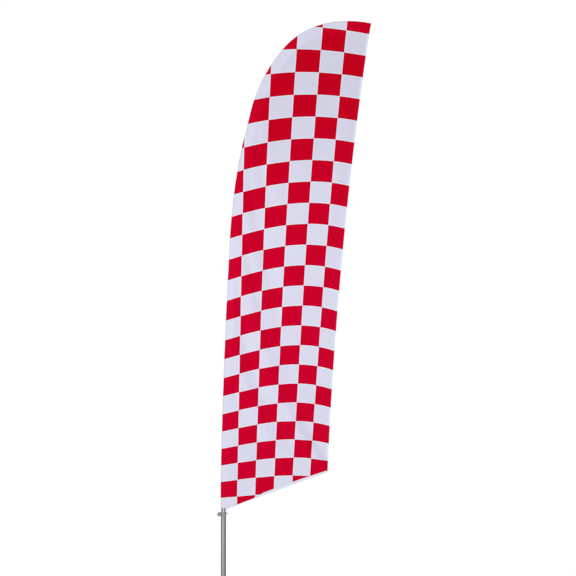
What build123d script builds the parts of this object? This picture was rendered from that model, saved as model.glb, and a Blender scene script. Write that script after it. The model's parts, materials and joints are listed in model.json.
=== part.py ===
from build123d import *
import os
from math import acos, atan2, cos, degrees, radians, sin, sqrt

os.makedirs("parts", exist_ok=True)

# Feather flag on a sectional pole, standing on a folding cross base with a turning spindle.
# Millimetres. The pole stands on the Z axis, the floor is Z = 0 and the flag flies towards +X.

# ---- folding cross base ----------------------------------------------------
BAR_WIDTH = 40.0
BAR_THICKNESS = 5.0
BAR_CORNER = 6.0
LOWER_BAR_LENGTH = 780.0
UPPER_BAR_LENGTH = 880.0
LOWER_BAR_ANGLE = -45.0
LOWER_BAR_HEIGHT = 14.0
PIVOT_WASHER_THICKNESS = 3.0
THRUST_WASHER_THICKNESS = 1.5
PIVOT_WASHER_RADIUS = 19.0
FOOT_LENGTH = 34.0
FOOT_WALL = 2.5
FOOT_CORNER = 8.0
FOOT_CHAMFER = 1.5
TREAD_GROOVE = 4.0
PEG_HOLE_RADIUS = 5.5
PEG_HOLE_FROM_END = 62.0
BASE_WASHER_RADIUS = 12.0
AXLE_WASHER_THICKNESS = 1.5
NUT_ACROSS_FLATS = 19.0
NUT_HEIGHT = 8.0
NUT_CONE_FOOT = 0.55
NUT_CONE_TOP = 0.12

# ---- spindle and bearings --------------------------------------------------
AXLE_RADIUS = 6.0
PIVOT_CLEARANCE = 0.05
AXLE_FLANGE_RADIUS = 16.0
AXLE_FLANGE_THICKNESS = 5.0
AXLE_BOTTOM = 3.0
AXLE_ABOVE_NUT = 3.0
AXLE_CHAMFER = 1.0
BEARING_WIDTH = 6.0
INNER_RING_RADIUS = 8.0
OUTER_RING_BORE = 10.0
OUTER_RING_RADIUS = 12.0
BALL_RADIUS = 1.5
BALL_COUNT = 10
TRACK_CLEARANCE = 0.08
ROTOR_GAP = 2.0
ROTOR_FLANGE_THICKNESS = 5.0
ROTOR_FLANGE_RADIUS = 18.0
ROTOR_RADIUS = 14.2
ROTOR_LENGTH = 110.0
ROTOR_CHAMFER = 0.6
O_RING_THICKNESS = 1.8
O_RING_CLEARANCE = 0.08
O_RING_FROM_END = 20.0
O_RING_GROOVE_WIDTH = 2.6

# ---- pole ------------------------------------------------------------------
TUBE_RADIUS = 16.0
TUBE_WALL = 1.5
TUBE_TOP = 850.0
UPPER_TUBE_RADIUS = 14.3
UPPER_TUBE_WALL = 1.3
UPPER_TUBE_INSERTED = 250.0
GLIDE_LIP = 8.0
GLIDE_STEM = 22.0
GLIDE_WALL = 2.0
GLIDE_CLEARANCE = 0.08
STRAIGHT_TOP = 965.0
# Above the straight run the pole bends under the pull of the cloth.
# Each stretch is an arc: its length, and the pole's lean from upright where it ends.
POLE_ARCS = [
    (400.0, 1.7),
    (1226.0, 2.8),
    (490.0, 9.9),
    (380.0, 15.2),
    (460.0, 43.0),
    (365.0, 85.5),
    (211.0, 101.3),
]
POLE_RUN = sum(length for length, lean in POLE_ARCS)
UPPER_TUBE_END = 900.0
MID_TUBE_RADIUS = 11.0
MID_TUBE_WALL = 2.5
MID_TUBE_LAP = 90.0
MID_TUBE_END = 2120.0
BUSH_LIP = 2.0
BUSH_LIP_LENGTH = 14.0
BUSH_STEP = 1.0
TIP_ROD_RADIUS = 6.0
TIP_ROD_END_RADIUS = 3.5
TIP_ROD_LAP = 80.0
TIP_TAPER_FROM = 30.0
TIP_TAPER_STEPS = 12
TIP_CAP_LENGTH = 26.0
TIP_CAP_WALL = 1.5
TIP_CAP_CLEARANCE = 0.08
TIP_GAP = 22.0

# ---- cloth -----------------------------------------------------------------
# The cloth solids are thicker than real cloth, so that they mesh well.
CLOTH = 1.2
HEM_CLOTH = 2.4
SLEEVE_FOOT_HEIGHT = 900.0
SLEEVE_GAP = 4.0
SLEEVE_FOOT_NARROWING = 2.5
SLEEVE_FOOT_TAPER = 80.0
SLEEVE_MID_TAPER = 200.0
SLEEVE_TIP_TAPER = 300.0
SLEEVE_TIP_NARROWING = 1.0
SLEEVE_WIDTH_LOW = 48.0
SLEEVE_WIDTH_HEAD = 74.0
SLEEVE_WIDENS_FROM = 1500.0
SECTION_TURN = 11.0
SECTION_RUN = 320.0
TIP_POCKET_LENGTH = 70.0
TIP_CLOSURE = 14.0
SEAM_LAP = 1.0
SEAM_HALF_GAP = 0.15
FLY_FOOT = (666.0, 1127.0)
FLY_CONTROL = (729.0, 2560.0)
BOTTOM_FRONT_HEIGHT = 896.0
FLY_HEM_WIDTH = 16.0
BOTTOM_HEM_WIDTH = 14.0
OUTLINE_MARGIN = 60.0

# ---- locking collar and tension strap ---------------------------------------
COLLAR_FLOOR = 839.0
COLLAR_TOP = 869.0
COLLAR_RADIUS = 17.8
COLLAR_CLEARANCE = 0.3
COLLAR_CHAMFER = 0.8
SCREW_HEIGHT = 857.0
SCREW_RADIUS = 3.0
SCREW_CLEARANCE = 0.08
SCREW_TIP_GAP = 0.3
SCREW_CHAMFER = 0.8
BOSS_RADIUS = 9.0
BOSS_FACE = 25.0
BOSS_CHAMFER = 1.0
INSERT_RADIUS = 5.0
INSERT_SINK = 0.5
INSERT_DEPTH_INTO_COLLAR = 1.0
KNOB_GAP = 0.6
KNOB_RADIUS = 14.4
KNOB_FLOOR = 19.6
KNOB_DOME_FROM = 17.0
KNOB_FACE = 41.5
KNOB_RECESS_CLEARANCE = 1.0
SCREW_BITE = 7.0
KNOB_LOBES = 8
KNOB_LOBE_RADIUS = 2.6
KNOB_LOBE_OFFSET = 0.9
HOOK_HEIGHT = 863.0
HOOK_BAR_RADIUS = 1.8
HOOK_REACH = 27.0
HOOK_DROP = 8.0
HOOK_ROOT = 1.5
STRAP_WIDTH = 10.0
STRAP_LOOP_WIDTH = 4.0
STRAP_LOOP_FROM_COLLAR = 3.0
STRAP_THICKNESS = 1.6
STRAP_HOOK_GAP = 0.4
STRAP_SLEEVE_GAP = 0.5
STRAP_LOOP_TOP = 874.0

# How far one shape runs into the next where they are joined or cut.
OVERRUN = 1.0

# ---- heights worked out from the stack --------------------------------------
LOWER_BAR_TOP = LOWER_BAR_HEIGHT + BAR_THICKNESS
UPPER_BAR_HEIGHT = LOWER_BAR_TOP + PIVOT_WASHER_THICKNESS
UPPER_BAR_TOP = UPPER_BAR_HEIGHT + BAR_THICKNESS
AXLE_FLANGE_HEIGHT = UPPER_BAR_TOP + THRUST_WASHER_THICKNESS
AXLE_FLANGE_TOP = AXLE_FLANGE_HEIGHT + AXLE_FLANGE_THICKNESS
ROTOR_HEIGHT = AXLE_FLANGE_TOP + ROTOR_GAP
POLE_FOOT = ROTOR_HEIGHT + ROTOR_FLANGE_THICKNESS
ROTOR_TOP = ROTOR_HEIGHT + ROTOR_LENGTH
TUBE_BORE = TUBE_RADIUS - TUBE_WALL
UPPER_TUBE_BORE = UPPER_TUBE_RADIUS - UPPER_TUBE_WALL


def save(node, shape):
    """Write one node's STEP file."""
    export_step(shape, f"parts/{node}.step")


def ring(outer, inner, low, high):
    """A plain tube standing on the Z axis between two heights."""
    tube = Cylinder(outer, high - low) - Cylinder(inner, high - low)
    return Pos(0, 0, (low + high) / 2) * tube


def disc(radius, low, high):
    """A plain cylinder standing on the Z axis between two heights."""
    return Pos(0, 0, (low + high) / 2) * Cylinder(radius, high - low)


def hex_nut(across_flats, bore, low, high):
    """A hexagon nut on the Z axis, with its corners chamfered by a cone."""
    corner = across_flats / sqrt(3)
    blank = extrude(Pos(0, 0, low) * RegularPolygon(corner, 6), high - low)
    height = high - low
    cone = Cone(corner + height * NUT_CONE_FOOT, corner - height * NUT_CONE_TOP, height)
    return (blank & Pos(0, 0, (low + high) / 2) * cone) - disc(bore, low, high)


# ---- base --------------------------------------------------------------------


def leg_bar(length, low, bore):
    """A flat steel bar with rounded corners, a pivot hole and a ground-peg hole near each end."""
    plate = RectangleRounded(length, BAR_WIDTH, BAR_CORNER)
    bar = extrude(Pos(0, 0, low) * plate, BAR_THICKNESS)
    bar -= disc(bore, low, low + BAR_THICKNESS)
    for side in (-1, 1):
        peg = Pos(side * (length / 2 - PEG_HOLE_FROM_END), 0, low + BAR_THICKNESS / 2)
        bar -= peg * Cylinder(PEG_HOLE_RADIUS, BAR_THICKNESS)
    return bar


def leg_feet(length, low):
    """The two rubber caps that carry a bar's ends and stand on the floor."""
    feet = []
    for side in (-1, 1):
        centre = side * (length / 2 + FOOT_WALL - FOOT_LENGTH / 2)
        top = low + BAR_THICKNESS + FOOT_WALL
        sole = RectangleRounded(FOOT_LENGTH, BAR_WIDTH + 2 * FOOT_WALL, FOOT_CORNER)
        cap = extrude(Pos(centre, 0, 0) * sole, top)
        cap = chamfer(cap.faces().sort_by(Axis.Z)[-1].edges(), FOOT_CHAMFER)
        tongue = extrude(Pos(0, 0, low) * RectangleRounded(length, BAR_WIDTH, BAR_CORNER), BAR_THICKNESS)
        tread = Pos(centre, 0, 0) * Box(FOOT_LENGTH, TREAD_GROOVE, TREAD_GROOVE)
        feet.append(cap - tongue - tread)
    return Compound(children=feet)


def build_base():
    turn = Rot(0, 0, LOWER_BAR_ANGLE)
    cross = Rot(0, 0, LOWER_BAR_ANGLE + 90)
    save("lower_leg_bar", turn * leg_bar(LOWER_BAR_LENGTH, LOWER_BAR_HEIGHT, AXLE_RADIUS))
    save("lower_leg_feet", turn * leg_feet(LOWER_BAR_LENGTH, LOWER_BAR_HEIGHT))
    save(
        "upper_leg_bar",
        cross * leg_bar(UPPER_BAR_LENGTH, UPPER_BAR_HEIGHT, AXLE_RADIUS + PIVOT_CLEARANCE),
    )
    save("upper_leg_feet", cross * leg_feet(UPPER_BAR_LENGTH, UPPER_BAR_HEIGHT))
    save("pivot_washer", ring(PIVOT_WASHER_RADIUS, AXLE_RADIUS, LOWER_BAR_TOP, UPPER_BAR_HEIGHT))
    save("thrust_washer", ring(PIVOT_WASHER_RADIUS, AXLE_RADIUS, UPPER_BAR_TOP, AXLE_FLANGE_HEIGHT))
    nut_top = LOWER_BAR_HEIGHT - AXLE_WASHER_THICKNESS
    save("axle_base_washer", ring(BASE_WASHER_RADIUS, AXLE_RADIUS, nut_top, LOWER_BAR_HEIGHT))
    save("axle_base_nut", hex_nut(NUT_ACROSS_FLATS, AXLE_RADIUS, nut_top - NUT_HEIGHT, nut_top))


# ---- spindle -----------------------------------------------------------------


def ball_track(height):
    """The ring-shaped groove that the balls run in."""
    middle = (INNER_RING_RADIUS + OUTER_RING_BORE) / 2
    return Pos(0, 0, height) * Torus(middle, BALL_RADIUS + TRACK_CLEARANCE)


def bearing(name, low):
    """One ball bearing: its two rings and its set of balls."""
    height = low + BEARING_WIDTH / 2
    middle = (INNER_RING_RADIUS + OUTER_RING_BORE) / 2
    inner = ring(INNER_RING_RADIUS, AXLE_RADIUS, low, low + BEARING_WIDTH) - ball_track(height)
    outer = ring(OUTER_RING_RADIUS, OUTER_RING_BORE, low, low + BEARING_WIDTH) - ball_track(height)
    balls = []
    for k in range(BALL_COUNT):
        balls.append(Rot(0, 0, 360 / BALL_COUNT * k) * Pos(middle, 0, height) * Sphere(BALL_RADIUS))
    save(name + "_bearing_inner_ring", inner)
    save(name + "_bearing_outer_ring", outer)
    save(name + "_bearing_balls", Compound(children=balls))


def build_spindle():
    upper_bearing = ROTOR_TOP - BEARING_WIDTH
    nut_floor = ROTOR_TOP + AXLE_WASHER_THICKNESS
    axle_top = nut_floor + NUT_HEIGHT + AXLE_ABOVE_NUT
    axle = disc(AXLE_RADIUS, AXLE_BOTTOM, axle_top)
    axle += ring(AXLE_FLANGE_RADIUS, AXLE_RADIUS - OVERRUN, AXLE_FLANGE_HEIGHT, AXLE_FLANGE_TOP)
    # A step under the lower inner ring keeps the turning rotor clear of the flange.
    axle += ring(INNER_RING_RADIUS, AXLE_RADIUS - OVERRUN, AXLE_FLANGE_TOP, ROTOR_HEIGHT)
    axle = chamfer(axle.faces().sort_by(Axis.Z)[-1].edges(), AXLE_CHAMFER)
    save("spindle_axle", axle)
    bearing("lower", ROTOR_HEIGHT)
    bearing("upper", upper_bearing)
    save(
        "bearing_spacer",
        ring(INNER_RING_RADIUS, AXLE_RADIUS, ROTOR_HEIGHT + BEARING_WIDTH, upper_bearing),
    )
    save("axle_top_washer", ring(INNER_RING_RADIUS, AXLE_RADIUS, ROTOR_TOP, nut_floor))
    save("axle_top_nut", hex_nut(NUT_ACROSS_FLATS, AXLE_RADIUS, nut_floor, nut_floor + NUT_HEIGHT))

    rotor = disc(ROTOR_RADIUS, ROTOR_HEIGHT, ROTOR_TOP)
    rotor += disc(ROTOR_FLANGE_RADIUS, ROTOR_HEIGHT, POLE_FOOT)
    rotor = chamfer(rotor.faces().sort_by(Axis.Z)[-1].edges(), ROTOR_CHAMFER)
    rotor -= disc(OUTER_RING_RADIUS, ROTOR_HEIGHT, ROTOR_HEIGHT + BEARING_WIDTH)
    rotor -= disc(OUTER_RING_RADIUS, upper_bearing, ROTOR_TOP)
    rotor -= disc(OUTER_RING_BORE, ROTOR_HEIGHT + BEARING_WIDTH, upper_bearing)
    seal_radius = TUBE_RADIUS - TUBE_WALL - O_RING_CLEARANCE - O_RING_THICKNESS / 2
    seals = []
    for height in (POLE_FOOT + O_RING_FROM_END, ROTOR_TOP - O_RING_FROM_END):
        seal = Pos(0, 0, height) * Torus(seal_radius, O_RING_THICKNESS / 2)
        low, high = height - O_RING_GROOVE_WIDTH / 2, height + O_RING_GROOVE_WIDTH / 2
        rotor -= ring(ROTOR_RADIUS + OVERRUN, seal_radius - O_RING_THICKNESS / 2, low, high)
        seals.append(seal)
    save("rotor_adapter", rotor)
    save("rotor_o_rings", Compound(children=seals))


# ---- pole ----------------------------------------------------------------------


def pole_station(run):
    """Centre and lean of the pole, run mm along it from the top of the straight run."""
    if run <= 0:
        return 0.0, STRAIGHT_TOP + run, 0.0
    x, z, lean = 0.0, STRAIGHT_TOP, 0.0
    for length, end_lean in POLE_ARCS:
        turn = radians(end_lean) - lean
        radius = length / turn
        part = min(run, length)
        now = lean + turn * part / length
        x += radius * (cos(lean) - cos(now))
        z += radius * (sin(now) - sin(lean))
        lean = now
        run -= part
        if run <= 0:
            break
    return x, z, lean


def pole_plane(run):
    """Plane square to the pole: its x points from the pole into the cloth, its y is +Y."""
    x, z, lean = pole_station(run)
    return Plane(origin=(x, 0, z), x_dir=(cos(lean), 0, -sin(lean)), z_dir=(sin(lean), 0, cos(lean)))


def pole_ends(start, end):
    """The places between start and end where one arc of the pole meets the next."""
    places = [start]
    run = 0.0
    for length, lean in [(0.0, 0.0)] + POLE_ARCS:
        run += length
        if start < run < end:
            places.append(run)
    return places + [end]


def pole_path(start, end):
    """The pole's centre line between two places, as a line and tangent arcs."""
    edges = []
    places = pole_ends(start, end)
    for low, high in zip(places, places[1:]):
        a, b, c = (pole_plane(run).origin for run in (low, (low + high) / 2, high))
        edges.append(Line(a, c) if high <= 0 else ThreePointArc(a, b, c))
    return Wire([edge.edge() for edge in edges])


def bent_bar(radius, start, end):
    """A round bar along the pole's centre line."""
    return sweep(pole_plane(start) * Circle(radius), path=pole_path(start, end))


def bent_tube(radius, bore, start, end):
    """A round tube along the pole's centre line."""
    return bent_bar(radius, start, end) - bent_bar(bore, start, end)


def build_pole():
    upper_foot = TUBE_TOP - UPPER_TUBE_INSERTED
    upper_start = upper_foot - STRAIGHT_TOP
    save("lower_tube", ring(TUBE_RADIUS, TUBE_BORE, POLE_FOOT, TUBE_TOP))
    save("upper_tube", bent_tube(UPPER_TUBE_RADIUS, UPPER_TUBE_BORE, upper_start, UPPER_TUBE_END))
    lip = ring(TUBE_BORE - GLIDE_CLEARANCE, UPPER_TUBE_BORE - GLIDE_WALL, upper_foot - GLIDE_LIP, upper_foot)
    stem = ring(UPPER_TUBE_BORE, UPPER_TUBE_BORE - GLIDE_WALL, upper_foot, upper_foot + GLIDE_STEM)
    save("tube_glide", lip + stem)

    # The bush centres the thinner tube in the wide one and caps its open end.
    bush = bent_bar(UPPER_TUBE_BORE, UPPER_TUBE_END - MID_TUBE_LAP, UPPER_TUBE_END)
    bush += bent_bar(UPPER_TUBE_RADIUS, UPPER_TUBE_END, UPPER_TUBE_END + BUSH_LIP)
    bush += bent_bar(UPPER_TUBE_RADIUS - BUSH_STEP, UPPER_TUBE_END, UPPER_TUBE_END + BUSH_LIP_LENGTH)
    bush -= bent_bar(MID_TUBE_RADIUS, UPPER_TUBE_END - MID_TUBE_LAP, UPPER_TUBE_END + BUSH_LIP_LENGTH)
    save("reducer_bush", bush)

    mid_bore = MID_TUBE_RADIUS - MID_TUBE_WALL
    mid_start = UPPER_TUBE_END - MID_TUBE_LAP
    save("mid_tube", bent_tube(MID_TUBE_RADIUS, mid_bore, mid_start, MID_TUBE_END))
    ferrule = bent_bar(mid_bore, MID_TUBE_END - TIP_ROD_LAP, MID_TUBE_END)
    ferrule += bent_bar(MID_TUBE_RADIUS, MID_TUBE_END, MID_TUBE_END + BUSH_LIP_LENGTH)
    ferrule -= bent_bar(TIP_ROD_RADIUS, MID_TUBE_END - TIP_ROD_LAP, MID_TUBE_END + BUSH_LIP_LENGTH)
    save("tip_ferrule", ferrule)

    rod_end = POLE_RUN - TIP_GAP
    cap_start = rod_end - TIP_CAP_LENGTH + TIP_CAP_WALL
    taper_start = MID_TUBE_END + BUSH_LIP_LENGTH + TIP_TAPER_FROM
    butt = bent_bar(TIP_ROD_RADIUS, MID_TUBE_END - TIP_ROD_LAP, taper_start)
    sections = []
    for k in range(TIP_TAPER_STEPS + 1):
        share = k / TIP_TAPER_STEPS
        radius = TIP_ROD_RADIUS + (TIP_ROD_END_RADIUS - TIP_ROD_RADIUS) * share
        sections.append(pole_plane(taper_start + (cap_start - taper_start) * share) * Circle(radius))
    save("tip_rod", butt + loft(sections) + bent_bar(TIP_ROD_END_RADIUS, cap_start, rod_end))
    cap = bent_bar(TIP_ROD_END_RADIUS + TIP_CAP_WALL, cap_start, rod_end + TIP_CAP_WALL)
    cap -= bent_bar(TIP_ROD_END_RADIUS + TIP_CAP_CLEARANCE, cap_start, rod_end)
    save("tip_cap", cap)


# ---- cloth -----------------------------------------------------------------------


def eased(run, start, length):
    """Share of a change that begins at start and is over after length."""
    return min(1, max(0, (run - start) / length))


def sleeve_radius(run):
    """Radius of the sleeve's round front: the pole inside it, the ply and some slack."""
    foot = SLEEVE_FOOT_HEIGHT - STRAIGHT_TOP
    radius = UPPER_TUBE_RADIUS + SLEEVE_GAP + CLOTH
    radius -= SLEEVE_FOOT_NARROWING * (1 - eased(run, foot, SLEEVE_FOOT_TAPER))
    radius -= (UPPER_TUBE_RADIUS - MID_TUBE_RADIUS) * eased(run, UPPER_TUBE_END, SLEEVE_MID_TAPER)
    tip_step = MID_TUBE_RADIUS - TIP_ROD_RADIUS + SLEEVE_TIP_NARROWING
    radius -= tip_step * eased(run, MID_TUBE_END, SLEEVE_TIP_TAPER)
    return radius


def seam_distance(run):
    """How far the sleeve's rear seam lies behind the pole's centre line."""
    share = eased(run, SLEEVE_WIDENS_FROM, POLE_RUN - SLEEVE_WIDENS_FROM)
    width = SLEEVE_WIDTH_LOW + (SLEEVE_WIDTH_HEAD - SLEEVE_WIDTH_LOW) * share
    return width - sleeve_radius(run)


def teardrop(radius, rear, half):
    """A sleeve's section: round about the pole, then running flat to the rear seam."""
    reach = sqrt(rear**2 + half**2)
    angle = atan2(half, rear) + acos(radius / reach)
    x, y = radius * cos(angle), radius * sin(angle)
    front = ThreePointArc((x, y), (-radius, 0), (x, -y))
    sides = Polyline((x, -y), (rear, -half), (rear, half), (x, y))
    return make_face([*front.edges(), *sides.edges()])


def sleeve_stations(start, end):
    """Places for the sleeve's sections, closer together where the pole bends more."""
    stations = [start]
    for low, high in zip(pole_ends(start, end), pole_ends(start, end)[1:]):
        turn = degrees(pole_station(high)[2] - pole_station(low)[2])
        steps = max(1, round(turn / SECTION_TURN), round((high - low) / SECTION_RUN))
        for k in range(steps):
            stations.append(low + (high - low) * (k + 1) / steps)
    return stations


def sleeve_loft(start, end, inset):
    """The sleeve's outside, or with an inset of one ply, its inside."""
    sections = []
    for run in sleeve_stations(start, end):
        radius, rear = sleeve_radius(run), seam_distance(run)
        half = CLOTH if inset == 0 else SEAM_HALF_GAP
        rear -= inset * rear / radius
        sections.append(pole_plane(run) * teardrop(radius - inset, rear, half))
    return loft(sections)


def build_sleeve():
    start = SLEEVE_FOOT_HEIGHT - STRAIGHT_TOP
    pocket_start = POLE_RUN - TIP_POCKET_LENGTH
    sleeve = sleeve_loft(start, pocket_start, 0) - sleeve_loft(start, pocket_start, CLOTH)
    save("pole_sleeve", sleeve)
    pocket = sleeve_loft(pocket_start, POLE_RUN, 0)
    pocket -= sleeve_loft(pocket_start, POLE_RUN - TIP_CLOSURE, CLOTH)
    save("tip_pocket", pocket)


def seam_point(run, lap):
    """A point on the rear seam, lap mm towards the pole from it."""
    point = pole_plane(run).from_local_coords((seam_distance(run) - lap, 0, 0))
    return point.X, point.Z


def build_sail():
    start = SLEEVE_FOOT_HEIGHT - STRAIGHT_TOP
    seam = [seam_point(run, SEAM_LAP) for run in sleeve_stations(start, POLE_RUN)]
    head = seam_point(POLE_RUN, 0)
    front_foot = (seam[0][0], BOTTOM_FRONT_HEIGHT)
    side = Plane.XZ
    with BuildSketch(side) as outline:
        with BuildLine():
            Line(front_foot, seam[0])
            Spline(seam)
            Line(seam[-1], head)
            Bezier(head, FLY_CONTROL, FLY_FOOT)
            Line(FLY_FOOT, front_foot)
        make_face()
    with BuildSketch(side) as fly_side:
        with BuildLine():
            low, middle, high = FLY_FOOT, FLY_CONTROL, head
            Bezier(*[(x - FLY_HEM_WIDTH, z) for x, z in (high, middle, low)])
            Polyline(
                (low[0] - FLY_HEM_WIDTH, low[1]),
                (low[0] - FLY_HEM_WIDTH, low[1] - OUTLINE_MARGIN),
                (high[0] + OUTLINE_MARGIN, low[1] - OUTLINE_MARGIN),
                (high[0] + OUTLINE_MARGIN, high[1]),
                (high[0] - FLY_HEM_WIDTH, high[1]),
            )
        make_face()
    with BuildSketch(side) as foot_side:
        with BuildLine():
            Polyline(
                (front_foot[0] - OUTLINE_MARGIN, front_foot[1] - OUTLINE_MARGIN),
                (front_foot[0] - OUTLINE_MARGIN, front_foot[1] + BOTTOM_HEM_WIDTH),
                (front_foot[0], front_foot[1] + BOTTOM_HEM_WIDTH),
                (FLY_FOOT[0], FLY_FOOT[1] + BOTTOM_HEM_WIDTH),
                (FLY_FOOT[0], front_foot[1] - OUTLINE_MARGIN),
                close=True,
            )
        make_face()
    cloth = outline.sketch
    hem_band = cloth & fly_side.sketch
    foot_band = (cloth - fly_side.sketch) & foot_side.sketch
    panel = cloth - fly_side.sketch - foot_side.sketch
    save("sail_panel", extrude(panel, CLOTH / 2, both=True))
    save("fly_hem", extrude(hem_band, HEM_CLOTH / 2, both=True))
    save("bottom_hem", extrude(foot_band, HEM_CLOTH / 2, both=True))


# ---- locking collar -----------------------------------------------------------------


def leftward(reach):
    """Place a shape drawn upwards from the origin so that it points to -X, reach from the axis."""
    return Pos(-reach, 0, SCREW_HEIGHT) * Rot(0, -90, 0)


def build_collar():
    body = chamfer(disc(COLLAR_RADIUS, COLLAR_FLOOR, COLLAR_TOP).edges(), COLLAR_CHAMFER)
    boss = leftward(0) * disc(BOSS_RADIUS, 0, BOSS_FACE)
    body += chamfer(boss.faces().sort_by(Axis.X)[0].edges(), BOSS_CHAMFER)

    # The strap hook: a peg out to the right whose tip turns down.
    with BuildLine(Plane.XZ) as route:
        FilletPolyline(
            (COLLAR_RADIUS - HOOK_ROOT, HOOK_HEIGHT),
            (HOOK_REACH, HOOK_HEIGHT),
            (HOOK_REACH, HOOK_HEIGHT - HOOK_DROP),
            radius=2 * HOOK_BAR_RADIUS,
        )
    wire = route.wire()
    body += sweep(Plane(origin=wire @ 0, z_dir=wire % 0) * Circle(HOOK_BAR_RADIUS), path=wire)
    body += Pos(HOOK_REACH, 0, HOOK_HEIGHT - HOOK_DROP) * Sphere(HOOK_BAR_RADIUS)

    body -= disc(TUBE_RADIUS, COLLAR_FLOOR - OVERRUN, TUBE_TOP)
    body -= disc(UPPER_TUBE_RADIUS + COLLAR_CLEARANCE, TUBE_TOP - OVERRUN, COLLAR_TOP + OVERRUN)
    insert_floor = COLLAR_RADIUS - INSERT_DEPTH_INTO_COLLAR
    insert_top = BOSS_FACE - INSERT_SINK
    body -= leftward(0) * disc(INSERT_RADIUS, insert_floor, BOSS_FACE + OVERRUN)
    body -= leftward(0) * disc(SCREW_RADIUS + SCREW_CLEARANCE, OVERRUN, BOSS_FACE)
    save("lock_collar", body)
    save(
        "boss_insert",
        leftward(0) * ring(INSERT_RADIUS, SCREW_RADIUS + SCREW_CLEARANCE, insert_floor, insert_top),
    )


def build_knob():
    """The thumb knob: a fluted dome that covers the boss, on a screw that presses on the upper tube."""
    with BuildSketch(Plane.XZ) as profile:
        with BuildLine():
            dome = EllipticalCenterArc((0, KNOB_DOME_FROM), KNOB_RADIUS, KNOB_FACE - KNOB_DOME_FROM)
            Polyline(dome @ 1, (0, KNOB_DOME_FROM), dome @ 0)
        make_face()
    head = revolve(profile.sketch, Axis.Z) & disc(KNOB_RADIUS + OVERRUN, KNOB_FLOOR, KNOB_FACE)
    groove = Pos(KNOB_RADIUS + KNOB_LOBE_OFFSET, 0, 0) * disc(KNOB_LOBE_RADIUS, 0, KNOB_FACE)
    for k in range(KNOB_LOBES):
        head -= Rot(0, 0, 360 / KNOB_LOBES * k) * groove
    recess = BOSS_FACE + KNOB_GAP
    screw_end = recess + SCREW_BITE
    head -= disc(BOSS_RADIUS + KNOB_RECESS_CLEARANCE, KNOB_FLOOR - OVERRUN, recess)
    head -= disc(SCREW_RADIUS, recess - OVERRUN, screw_end)
    save("locking_knob", leftward(0) * head)
    tip = UPPER_TUBE_RADIUS + SCREW_TIP_GAP
    screw = disc(SCREW_RADIUS, tip, screw_end)
    save("knob_screw", leftward(0) * chamfer(screw.faces().sort_by(Axis.Z)[0].edges(), SCREW_CHAMFER))


def build_strap():
    """The elastic strap: sewn in the sleeve's seam, with a loop at its foot round the hook."""
    seam_x = seam_distance(SLEEVE_FOOT_HEIGHT - STRAIGHT_TOP)
    centre = COLLAR_RADIUS + STRAP_LOOP_FROM_COLLAR
    inner = HOOK_BAR_RADIUS + STRAP_HOOK_GAP
    outer = inner + STRAP_THICKNESS
    rise = STRAP_LOOP_TOP - HOOK_HEIGHT
    link = SlotCenterToCenter(rise, 2 * outer) - SlotCenterToCenter(rise, 2 * inner)
    middle = (STRAP_LOOP_TOP + HOOK_HEIGHT) / 2
    side = Plane(origin=(centre, 0, middle), x_dir=(0, 0, 1), z_dir=(1, 0, 0))
    loop = extrude(side * link, STRAP_LOOP_WIDTH / 2, both=True)
    with BuildSketch(Plane.XZ) as web:
        low, high = STRAP_LOOP_TOP + inner, SLEEVE_FOOT_HEIGHT - STRAP_SLEEVE_GAP
        with BuildLine():
            Polyline(
                (centre - STRAP_LOOP_WIDTH / 2, low),
                (centre + STRAP_LOOP_WIDTH / 2, low),
                (seam_x, high),
                (seam_x - STRAP_WIDTH, high),
                close=True,
            )
        make_face()
    save("tension_strap", loop + extrude(web.sketch, STRAP_THICKNESS / 2, both=True))


build_base()
build_spindle()
build_pole()
build_sleeve()
build_sail()
build_collar()
build_knob()
build_strap()
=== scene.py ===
"""Feather flag with pole: the looks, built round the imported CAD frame. Lengths are in metres."""

import json
import random
from math import acos, atan2, cos, exp, hypot, pi, radians, sin

import bmesh
import bpy
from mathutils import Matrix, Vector, noise
from mathutils.bvhtree import BVHTree
from mathutils.geometry import delaunay_2d_cdt
from mathutils.kdtree import KDTree


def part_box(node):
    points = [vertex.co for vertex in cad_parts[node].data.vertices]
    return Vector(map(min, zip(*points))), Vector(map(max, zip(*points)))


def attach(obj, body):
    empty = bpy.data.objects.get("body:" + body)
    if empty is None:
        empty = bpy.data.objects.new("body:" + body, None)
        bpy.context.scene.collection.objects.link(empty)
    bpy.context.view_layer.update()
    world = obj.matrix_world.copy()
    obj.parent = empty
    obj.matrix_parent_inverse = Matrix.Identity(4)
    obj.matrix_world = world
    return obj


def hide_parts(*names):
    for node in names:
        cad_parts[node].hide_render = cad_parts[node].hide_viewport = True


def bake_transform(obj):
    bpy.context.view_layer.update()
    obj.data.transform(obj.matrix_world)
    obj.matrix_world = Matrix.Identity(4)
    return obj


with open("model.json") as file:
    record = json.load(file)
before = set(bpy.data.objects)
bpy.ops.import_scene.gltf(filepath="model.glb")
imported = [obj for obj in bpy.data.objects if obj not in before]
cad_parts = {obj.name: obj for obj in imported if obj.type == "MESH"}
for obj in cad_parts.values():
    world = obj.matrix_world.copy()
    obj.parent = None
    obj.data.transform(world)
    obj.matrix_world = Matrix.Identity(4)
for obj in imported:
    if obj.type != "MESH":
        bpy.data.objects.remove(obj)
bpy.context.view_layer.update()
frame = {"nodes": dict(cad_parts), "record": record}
STITCH_SEED = 7

# ---- camera ------------------------------------------------------------------
CAMERA_PLACE = (0.413, -10.0, 2.305)
SENSOR = 36.0
VIEW_WIDTH = 3.6864
FAR_CLIP = 60

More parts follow.
